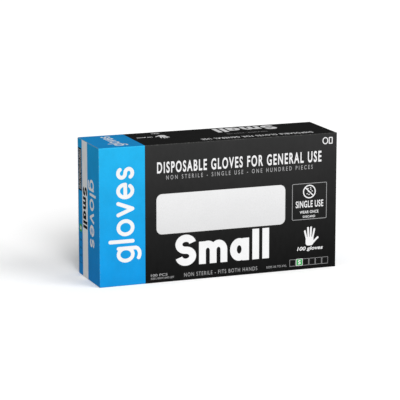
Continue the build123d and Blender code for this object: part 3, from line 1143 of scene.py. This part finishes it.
def long_boards():
    """The top and the bottom, which both run from their front crease to the back."""
    front_y = -(OUTER_Y - CREASE_OUTER)
    # The top takes a darker copy of the print: painted shade
    long_board("top_board", "top_panel", OUTER_Z, 1, front_y, -front_y, TOP_PAINTED_SHADE)
    long_board("bottom_board", "bottom_panel", 0.0, -1, front_y, OUTER_Y, ())


def end_boards():
    """Both ends: the closure, its tuck tongue and the two dust flaps behind it."""
    for side_name, side in (("left", -1), ("right", 1)):
        closure_board(side_name, side)
        tuck_tongue(side_name, side)
        for level in ("upper", "lower"):
            dust_flap(side_name, level, side)


# ---------------------------------------------------------------- gloves


def flat_tube(path, half_width, half_thick, around):
    """A flattened tube: at each station a flat ring, wide across the path and thin through the film."""
    path = np.asarray(path, float)
    direction = np.gradient(path, axis=0)
    direction /= np.linalg.norm(direction, axis=1)[:, None]
    angle = (np.arange(around) + 0.5) * 2 * math.pi / around
    side = np.sign(np.cos(angle)) * np.abs(np.cos(angle)) ** 0.8
    through = np.sign(np.sin(angle)) * np.abs(np.sin(angle)) ** 0.6
    x = path[:, 0, None] - direction[:, 1, None] * half_width[:, None] * side
    z = path[:, 1, None] + direction[:, 0, None] * half_width[:, None] * side
    y = half_thick[:, None] * through
    return tube(np.stack([x, y, z], axis=-1))


def glove_tubes(rows, around, thickness, cuff_bead=1.0):
    """The palm, fingers and thumb of a flat glove, in mm: cuff at X = 0, fingers to +X, thumb to +Z."""
    parts = []

    def finger(root, tip, width):
        """A tube that ends in half a circle: its half width is the height of the circle at its tip."""
        root, tip = np.asarray(root, float), np.asarray(tip, float)
        length = np.linalg.norm(tip - root)
        share = np.sin(np.linspace(0, math.pi / 2, rows)) ** 0.9
        radius = width / 2
        gone = np.clip(share * length - (length - radius), 0, radius)
        half = np.sqrt(np.clip(radius**2 - gone**2, (0.05 * radius) ** 2, None))
        thick = thickness / 2 * np.clip(0.35 + half / radius, 0, 1)
        parts.append(flat_tube(root + share[:, None] * (tip - root), half, thick, around))

    root_share = 0.96  # the roots stand a little closer together than the tips
    for short, across, width in FINGERS:
        finger((FINGER_ROOT, across * root_share), (GLOVE_LENGTH - short, across), width)
    root = np.array((WRIST, THUMB_ACROSS))
    finger(root, root + THUMB_LENGTH * np.array((math.cos(THUMB_TURN), math.sin(THUMB_TURN))), THUMB_WIDTH)
    # Stations along the palm: either a few, or many and crowded at the cuff, so that its bead stays narrow
    if rows < 8:
        place = np.array((0.0, WRIST, 120.0, KNUCKLES - 6, KNUCKLES))
    else:
        cuff, end = [0, 0.6, 1.4, 2.4], [KNUCKLES - 2, KNUCKLES]
        place = np.concatenate([cuff, np.linspace(6, KNUCKLES - 6, rows), end])
    known = [0, WRIST, KNUCKLES - 12, KNUCKLES]
    half = np.interp(place, known, [CUFF_HALF, PALM_HALF, PALM_HALF, PALM_HALF - 6])
    thick = thickness / 2 * np.where(place < CUFF_ROLL, cuff_bead, 1.0)
    parts.append(flat_tube(np.stack([place, np.zeros_like(place)], axis=-1), half, thick, around))
    return parts


def laid_glove(parts, order, wave):
    """A glove's parts in the stack: slipped a little, and every other one turned end for end about Y."""
    gloves = settings()[2]
    low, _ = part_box("top_glove")
    way = -1 if order % 2 else 1
    cuff_x = way * low.x / MM + SCATTER * math.sin(2.4 * order)
    behind = gloves.layers * gloves.per_layer - order
    middle_y = (OUTER_Y - gloves.pitch * behind - gloves.thickness / 2) / MM - STACK_GAP
    thumb_rise = THUMB_ACROSS + (THUMB_LENGTH - THUMB_WIDTH / 2) * math.sin(THUMB_TURN) + THUMB_WIDTH / 2
    below = CUFF_HALF if way > 0 else thumb_rise
    palm_z = STACK_GAP + SCATTER * (1 + math.sin(1.7 * order)) / 2 + below
    laid = []
    for points, polygons, finish in parts:
        x, y, z = points.T
        moved = np.stack([cuff_x + way * x, middle_y + y + wave(x, z), palm_z + way * z], axis=-1)
        laid.append((moved * MM, polygons, finish))
    return laid


def front_glove():
    """The glove that the window shows: creased film with a rolled bead at the cuff."""
    film, sink, fold_height = 0.42, 0.55, 0.9  # in mm
    cuff_bead = 2.0  # times the film's thickness

    def creases(x, z):
        """Long folds across the palm and down the fingers: three waves, each bent by a slower one."""
        folds = 0.42 * np.sin(0.13 * x + 0.09 * z + 1.1 * np.sin(0.05 * z))
        folds += 0.34 * np.sin(0.30 * x - 0.24 * z + 1.7 * np.sin(0.04 * x))
        folds += 0.22 * np.sin(0.62 * x + 0.42 * z + 2.0 * np.sin(0.11 * z)) * np.sin(0.06 * x + 0.4)
        return -sink - fold_height * folds

    parts = laid_glove(glove_tubes(110, 28, film, cuff_bead), 0, creases)
    make_piece("front_glove", "carton", parts, [finish_named("nitrile_film", nitrile_film)],
               ["top_glove"])


def glove_stack():
    """The other gloves, in layers: each is a flat glove of few faces with a slight wave of its own."""
    gloves = settings()[2]
    tubes = glove_tubes(5, 6, gloves.thickness / MM)
    for layer in range(gloves.layers):
        parts = []
        for place in range(gloves.per_layer):
            order = 1 + layer * gloves.per_layer + place

            def wave(x, z, order=order):
                return 0.12 * np.sin(0.05 * x + 1.3 * order) * np.cos(0.04 * z + 0.7 * order)

            parts += laid_glove(tubes, order, wave)
        make_piece(f"folded_gloves_{layer + 1:02d}", "carton", parts,
                   [finish_named("nitrile_film", nitrile_film)], [f"glove_layer_{layer + 1:02d}"])


# ---------------------------------------------------------------- printed art


def mm(*numbers):
    """Numbers of millimetres, in metres."""
    return tuple(number * MM for number in numbers)


def badge(name, face, left, foot, size):
    """A thin frame, and in it a crossed ring with dots and three lines of words, in mm at size 1."""
    dots = ((15.4, 25.2), (17.3, 24.4), (17.0, 27.2), (19.2, 29.4), (20.6, 27.6), (18.9, 31.0), (16.2, 30.3))
    ring_stroke, cross_lift = 1.1 * size * MM, 0.002 * MM

    def at(x, z):
        return (left + x * size) * MM, (foot + z * size) * MM

    outline = ink_slab(face, frame_line(at(0, 0), at(36.1, 35.5), 0.5 * size * MM, 1.2 * size * MM), True)
    print_piece(f"{name}_frame_print", face, [outline], "grey")
    parts = [
        ink_slab(face, hoop(at(17.9, 27.2), mm(6.1 * size, 6.1 * size), ring_stroke), True),
        ink_slab(face, ribbon(np.linspace(at(13.7, 31.3), at(22.1, 23.1), 4), ring_stroke), lift=cross_lift),
    ]
    for x, z in dots:
        parts.append(ink_slab(face, ribbon(np.linspace(at(x, z), at(x + 0.4, z), 3), 0.9 * size * MM)))
    parts.append(lettering(face, "SINGLE USE", at(3.9, 11.8), at(32.5, 18.5), 0.02, 1.1))
    parts.append(lettering(face, "WEAR ONCE", at(8.1, 6.0), at(27.6, 8.8), 0.015, 1.1))
    parts.append(lettering(face, "DISCARD", at(11.4, 1.8), at(24.2, 4.0), 0.015, 1.1))
    print_piece(f"{name}_mark_print", face, parts, "white")


def box_line(face, left, foot, right, top, line=0.3, corner=0.4):
    """An outlined box with edges at these places, in mm."""
    return ink_slab(face, frame_line(mm(left, foot), mm(right, top), line * MM, corner * MM), True)


def size_row(face, left, foot, step, height):
    """Six outlined boxes for the sizes, less the second, whose place the green size mark takes."""
    starts = [left + step * place for place in (0, 2, 3, 4, 5)]
    return [box_line(face, x, foot, x + step * 0.94, foot + height, 0.3, 0.25) for x in starts]


def front_art():
    """The print of the front face."""
    face, band = readings()["front"], readings()["front_band"]
    print_piece("band_word_print", band, band_word(band, 22.3, 85.6), "white")
    low, high = mm(-63, HEADLINE_FOOT), mm(104, HEADLINE_TOP)
    headline = lettering(face, HEADLINE, low, high, 0.024, 1.28, detail=12)
    print_piece("headline_print", face, [headline], "white")
    words = "NON STERILE - SINGLE USE - ONE HUNDRED PIECES"
    subline = lettering(face, words, mm(-54, 98.2), mm(95, 102.3), 0.008, 1.7)
    print_piece("subline_print", face, [subline], "grey")
    print_piece("size_word_print", face, size_word(face, -45.0, 14.3), "white")
    badge("badge", face, 73.9, 49.0, 1.0)
    hand = hand_mark(face, (92.5, 31.4), 1.0)
    hand.append(lettering(face, "100 gloves", mm(79.5, 17.6), mm(106.5, 22.4), 0.02, slant=0.2))
    print_piece("hand_print", face, hand, "white")
    print_piece("foot_line_print", face, [
        lettering(face, "NON STERILE - FITS BOTH HANDS", mm(-36.3, 3.4), mm(38.2, 7.2), 0.0, 1.25),
        lettering(face, "100 PCS", mm(-69.6, 6.2), mm(-53.0, 8.6), 0.01),
        lettering(face, "SIZE S, RIGHT AND LEFT", mm(-69.6, 3.0), mm(-46.4, 5.2), 0.01),
        lettering(face, "SIZES XS TO XXL", mm(47.6, 4.2), mm(68.8, 6.2), 0.0),
    ], "grey")
    print_piece("size_row_print", face, size_row(face, 71.8, 3.9, 6.78, 6.7), "grey")
    print_piece("size_mark_print", face, [ink_slab(face, block(mm(79.1, 4.5), mm(85.0, 10.3)))], "green")
    print_piece("size_letter_print", face, [
        lettering(face.overprinted(), "S", mm(80.7, 5.3), mm(83.4, 9.5), 0.03),
        box_line(face, 78.6, 3.9, 85.5, 10.8, 0.45),
    ], "white")
    print_piece("corner_marks_print", face, [
        ink_slab(face, hoop(mm(107.9, 124.7), mm(2.5, 3.0), 0.9 * MM), True),
        box_line(face, 111.5, 121.4, 115.5, 128.0, 0.9, 0.7),
    ], "white")


def top_art():
    """The print of the top: the band's word, and the other lines turned to be read from behind."""
    face, band = readings()["top"], readings()["top_band"]
    print_piece("top_band_word_print", band, band_word(band, -24.0, 91.0, 0.54), "white")
    print_piece("top_size_word_print", face, size_word(face, -76.7, -27.5, 0.66), "white")
    headline = lettering(face, HEADLINE, mm(-99, 17.6), mm(14.5, 24.4), 0.02, 1.2, detail=8)
    print_piece("top_headline_print", face, [headline], "white")
    subline = lettering(face, "NON STERILE - SINGLE USE", mm(-60.5, 0.6), mm(-18.8, 3.4), 0.01, 1.3)
    print_piece("top_subline_print", face, [subline], "grey")
    hand = hand_mark(face, (43.0, -6.5), 0.85)
    hand.append(lettering(face, "100 gloves", mm(53.5, -9.5), mm(69.5, -5.5), 0.03, slant=0.2))
    hand.append(lettering(face, "SIZE S", mm(41.0, -25.5), mm(49.0, -21.8), 0.03))
    print_piece("top_hand_print", face, hand, "white")


def left_end_art():
    """The print of the left end, read from top to bottom."""
    face = readings()["left"]
    print_piece("left_end_word_print", face, band_word(face, -98.6, 3.6, END_BAND_SIZE), "white")
    print_piece("left_end_size_print", face, size_word(face, -88.0, -16.8, END_WORD_SIZE), "black")
    ground = ink_slab(face, block(mm(-123, -30.4), mm(-82, -20.4), 2, 7))
    print_piece("left_end_block_print", face, [ground], "black")
    lifted = face.overprinted()
    lines = [
        lettering(lifted, words, mm(-121.5, low), mm(-83.5, low + 1.8), 0.01)
        for words, low in (("DISPOSABLE GLOVES", -23.4), ("FOR GENERAL USE", -26.4), ("NON STERILE", -29.4))
    ]
    print_piece("left_end_lines_print", face, lines, "white")
    mark = ink_slab(face, block(mm(-49.5, -28.6), mm(-42.0, -21.3)))
    print_piece("left_end_mark_print", face, [mark], "green")
    starts = [-41.2 + 7.6 * place for place in range(4)]
    boxes = [box_line(face, x, -28.6, x + 6.8, -21.3, corner=0.3) for x in starts]
    print_piece("left_end_boxes_print", face, boxes, "black")
    letter = lettering(lifted, "S", mm(-47.4, -27.3), mm(-44.0, -22.6), 0.03)
    print_piece("left_end_letter_print", face, [letter], "white")


def right_end_art():
    """The print of the right end, read from bottom to top."""
    face = readings()["right"]
    print_piece("right_end_word_print", face, band_word(face, 34.0, 3.6, END_BAND_SIZE), "white")
    words = size_word(face, 45.0, -16.8, END_WORD_SIZE)
    words.append(lettering(face, "100 gloves", mm(44, -27.5), mm(88, -22.0), 0.02))
    print_piece("right_end_size_print", face, words, "white")


def back_art():
    """The print of the back: the band's word, a headline, the size word, marks and a table of sizes."""
    face, band = readings()["back"], readings()["back_band"]
    print_piece("back_band_word_print", band, band_word(band, 22.3, -108.8), "white")
    words = size_word(face, -95.0, 72.0, 0.74)
    low, high = mm(-104, HEADLINE_FOOT), mm(63, HEADLINE_TOP)
    words.append(lettering(face, HEADLINE, low, high, 0.02, 1.25, detail=10))
    print_piece("back_words_print", face, words, "white")
    advice = (
        "PULL OUT ONE GLOVE AT A TIME",
        "USE CLEAN DRY HANDS",
        "FITS LEFT AND RIGHT",
        "KEEP THE CARTON COOL AND DRY",
        "ONE HUNDRED PIECES BY COUNT",
        "NON STERILE - SINGLE USE",
    )
    left, first_foot, pitch, height, per_letter = -95, 58, 7, 3.4, 2.35
    lines = []
    for row, words in enumerate(advice):
        foot = first_foot - pitch * row
        low, high = mm(left, foot), mm(left + per_letter * len(words), foot + height)
        lines.append(lettering(face, words, low, high, 0.008, 1.1))
    print_piece("back_lines_print", face, lines, "grey")
    badge("back_badge", face, 0.0, 58.0, 0.95)
    print_piece("back_hand_print", face, hand_mark(face, (52, 76), 1.15), "white")
    table, heads = [], []
    for column, size in enumerate(("XS", "S", "M", "L", "XL", "XXL")):
        start = 11 * column - 2
        table += [box_line(face, start, 12 + 9 * row, start + 10.2, 20.2 + 9 * row) for row in range(3)]
        middle, half = start + 5.1, 0.95 * len(size)
        heads.append(lettering(face, size, mm(middle - half, 32.6), mm(middle + half, 36.2), 0.02))
    print_piece("back_table_print", face, table + heads, "grey")


def foot_art():
    """The print of the bottom: one line of words clear of the rest."""
    face = readings()["foot"]
    words = lettering(face, "100 DISPOSABLE GLOVES - SIZE S", mm(-40, -3), mm(60, 3), 0.02, 1.05)
    print_piece("foot_words_print", face, [words], "grey")


# ---------------------------------------------------------------- stage


def stage():
    """A pale floor, four lights, a bright room that glossy faces see as dark, and the camera."""
    look = settings()[3]
    scene = bpy.context.scene
    reach = 7.0
    corners = [(-reach, -reach, 0), (reach, -reach, 0), (reach, reach, 0), (-reach, reach, 0)]
    mesh = bpy.data.meshes.new("floor")
    mesh.from_pydata(corners, [], [[0, 1, 2, 3]])
    finish = Finish("floor_paper", Specular_IOR_Level=0.0, Roughness=1.0)
    cloud = finish.noise(3, 2)
    finish.colour(finish.mix(finish.span(cloud, 0.3, 0.7), (0.97, 0.97, 0.97), (0.99, 0.99, 0.99)))
    finish.shader.inputs["Emission Color"].default_value = (1, 1, 1, 1)
    finish.shader.inputs["Emission Strength"].default_value = look.floor_glow
    mesh.materials.append(finish.material)
    floor = bpy.data.objects.new("floor", mesh)
    floor.visible_diffuse = False
    floor.visible_glossy = False
    scene.collection.objects.link(floor)

    def sun(name, toward, strength, spread):
        """A light that comes from this direction, its disc as wide as spread, in degrees."""
        light = bpy.data.lights.new(name, "SUN")
        light.energy = strength
        light.angle = math.radians(spread)
        holder = bpy.data.objects.new(name, light)
        holder.rotation_euler = Vector(toward).to_track_quat("Z", "Y").to_euler()
        scene.collection.objects.link(holder)
        return holder

    sun("key_light", (-0.12, -0.87, 0.46), look.key, 26)
    sun("left_light", (-0.95, -0.3, 0.08), look.left, 30)
    sun("rear_light", (0.8, 0.3, 0.6), look.rear, 40)
    ground = bpy.data.collections.new("floor_only")
    ground.objects.link(floor)
    overhead = sun("floor_light", (0.5, -0.6, 0.62), look.overhead, 40)
    overhead.light_linking.receiver_collection = ground

    world = bpy.data.worlds.new("room")
    world.use_nodes = True
    nodes, links = world.node_tree.nodes, world.node_tree.links
    air = nodes["Background"]
    air.inputs["Color"].default_value = (1, 1, 1, 1)
    air.inputs["Strength"].default_value = look.air
    path = nodes.new("ShaderNodeLightPath")
    shown = air.outputs[0]
    for ray, strength in (("Is Glossy Ray", look.dark_room), ("Is Camera Ray", 1.0)):
        backdrop = nodes.new("ShaderNodeBackground")
        backdrop.inputs["Color"].default_value = (1, 1, 1, 1)
        backdrop.inputs["Strength"].default_value = strength
        chosen = nodes.new("ShaderNodeMixShader")
        links.new(path.outputs[ray], chosen.inputs[0])
        links.new(shown, chosen.inputs[1])
        links.new(backdrop.outputs[0], chosen.inputs[2])
        shown = chosen.outputs[0]
    links.new(shown, nodes["World Output"].inputs[0])
    scene.world = world

    turn, rise = look.azimuth, look.elevation
    back = Vector((math.sin(turn) * math.cos(rise), -math.cos(turn) * math.cos(rise), math.sin(rise)))
    right = Vector((math.cos(turn), math.sin(turn), 0))
    up = back.cross(right)
    aim = right * AIM_RIGHT + up * AIM_UP
    lens = bpy.data.cameras.new("camera")
    lens.lens = look.lens
    lens.sensor_width = 36
    lens.clip_end = 50
    camera = bpy.data.objects.new("camera", lens)
    camera.location = aim + back * look.distance
    camera.rotation_euler = back.to_track_quat("Z", "Y").to_euler()
    scene.collection.objects.link(camera)
    scene.camera = camera
    scene.view_settings.view_transform = "Standard"
    scene.view_settings.look = "None"


# ---------------------------------------------------------------- operators


class GLOVE_CARTON_OT_front_board(bpy.types.Operator):
    """Makes the front board with its window, creases and beads"""

    bl_idname = "glove_carton.front_board"
    bl_label = "Front Board"

    def execute(self, context):
        front_board()
        return {"FINISHED"}


class GLOVE_CARTON_OT_long_boards(bpy.types.Operator):
    """Makes the two long narrow sides of the carton"""

    bl_idname = "glove_carton.long_boards"
    bl_label = "Top and Bottom Boards"

    def execute(self, context):
        long_boards()
        return {"FINISHED"}


class GLOVE_CARTON_OT_back_board(bpy.types.Operator):
    """Makes the back board with its two creases"""

    bl_idname = "glove_carton.back_board"
    bl_label = "Back Board"

    def execute(self, context):
        back_board()
        return {"FINISHED"}


class GLOVE_CARTON_OT_glue_seam(bpy.types.Operator):
    """Makes the glue flap and its line of adhesive"""

    bl_idname = "glove_carton.glue_seam"
    bl_label = "Glue Seam"

    def execute(self, context):
        glue_seam()
        return {"FINISHED"}


class GLOVE_CARTON_OT_end_boards(bpy.types.Operator):
    """Makes both closures, their tuck tongues and their dust flaps"""

    bl_idname = "glove_carton.end_boards"
    bl_label = "End Boards"

    def execute(self, context):
        end_boards()
        return {"FINISHED"}


class GLOVE_CARTON_OT_tear_out(bpy.types.Operator):
    """Makes the panel that fills the dispensing window"""

    bl_idname = "glove_carton.tear_out"
    bl_label = "Tear-out Panel"

    def execute(self, context):
        tear_out()
        return {"FINISHED"}


class GLOVE_CARTON_OT_front_glove(bpy.types.Operator):
    """Makes the glove that the window shows"""

    bl_idname = "glove_carton.front_glove"
    bl_label = "Front Glove"

    def execute(self, context):
        front_glove()
        return {"FINISHED"}


class GLOVE_CARTON_OT_glove_stack(bpy.types.Operator):
    """Makes the rest of the gloves, layer by layer"""

    bl_idname = "glove_carton.glove_stack"
    bl_label = "Glove Stack"

    def execute(self, context):
        glove_stack()
        return {"FINISHED"}


class GLOVE_CARTON_OT_front_art(bpy.types.Operator):
    """Prints the front face"""

    bl_idname = "glove_carton.front_art"
    bl_label = "Front Print"

    def execute(self, context):
        front_art()
        return {"FINISHED"}


class GLOVE_CARTON_OT_top_art(bpy.types.Operator):
    """Prints the top"""

    bl_idname = "glove_carton.top_art"
    bl_label = "Top Print"

    def execute(self, context):
        top_art()
        return {"FINISHED"}


class GLOVE_CARTON_OT_end_art(bpy.types.Operator):
    """Prints both ends"""

    bl_idname = "glove_carton.end_art"
    bl_label = "End Prints"

    def execute(self, context):
        left_end_art()
        right_end_art()
        return {"FINISHED"}


class GLOVE_CARTON_OT_back_art(bpy.types.Operator):
    """Prints the back and the bottom"""

    bl_idname = "glove_carton.back_art"
    bl_label = "Back and Bottom Prints"

    def execute(self, context):
        back_art()
        foot_art()
        return {"FINISHED"}


class GLOVE_CARTON_OT_stage(bpy.types.Operator):
    """Makes the floor, the lights and the camera"""

    bl_idname = "glove_carton.stage"
    bl_label = "Stage"

    def execute(self, context):
        stage()
        return {"FINISHED"}


OPERATORS = (
    GLOVE_CARTON_OT_front_board,
    GLOVE_CARTON_OT_long_boards,
    GLOVE_CARTON_OT_back_board,
    GLOVE_CARTON_OT_glue_seam,
    GLOVE_CARTON_OT_end_boards,
    GLOVE_CARTON_OT_tear_out,
    GLOVE_CARTON_OT_front_glove,
    GLOVE_CARTON_OT_glove_stack,
    GLOVE_CARTON_OT_front_art,
    GLOVE_CARTON_OT_top_art,
    GLOVE_CARTON_OT_end_art,
    GLOVE_CARTON_OT_back_art,
    GLOVE_CARTON_OT_stage,
)


class GLOVE_CARTON_PT_sidebar(bpy.types.Panel):
    """Lists the carton's settings and the operators that build it"""

    bl_idname = "GLOVE_CARTON_PT_sidebar"
    bl_label = "Glove Carton"
    bl_space_type = "VIEW_3D"
    bl_region_type = "UI"
    bl_category = "Glove Carton"

    def draw(self, context):
        for group in settings():
            box = self.layout.box()
            for name in group.__annotations__:
                box.prop(group, name)
        for made in OPERATORS:
            self.layout.operator(made.bl_idname)


GROUPS = {
    "carton_board": BoardSettings,
    "carton_ink": InkSettings,
    "carton_gloves": GloveSettings,
    "carton_stage": StageSettings,
}


def register():
    """Adds the settings, the operators and the sidebar to Blender."""
    for group in GROUPS.values():
        bpy.utils.register_class(group)
    for name, group in GROUPS.items():
        setattr(bpy.types.Scene, name, bpy.props.PointerProperty(type=group))
    for made in OPERATORS:
        bpy.utils.register_class(made)
    bpy.utils.register_class(GLOVE_CARTON_PT_sidebar)


def unregister():
    """Takes the sidebar, the operators and the settings away again."""
    bpy.utils.unregister_class(GLOVE_CARTON_PT_sidebar)
    for made in reversed(OPERATORS):
        bpy.utils.unregister_class(made)
    for name in GROUPS:
        delattr(bpy.types.Scene, name)
    for group in reversed(GROUPS.values()):
        bpy.utils.unregister_class(group)


def main():
    """Builds the whole carton."""
    register()
    for made in OPERATORS:
        group, name = made.bl_idname.split(".")
        getattr(getattr(bpy.ops, group), name)()


if __name__ == "__main__":
    main()
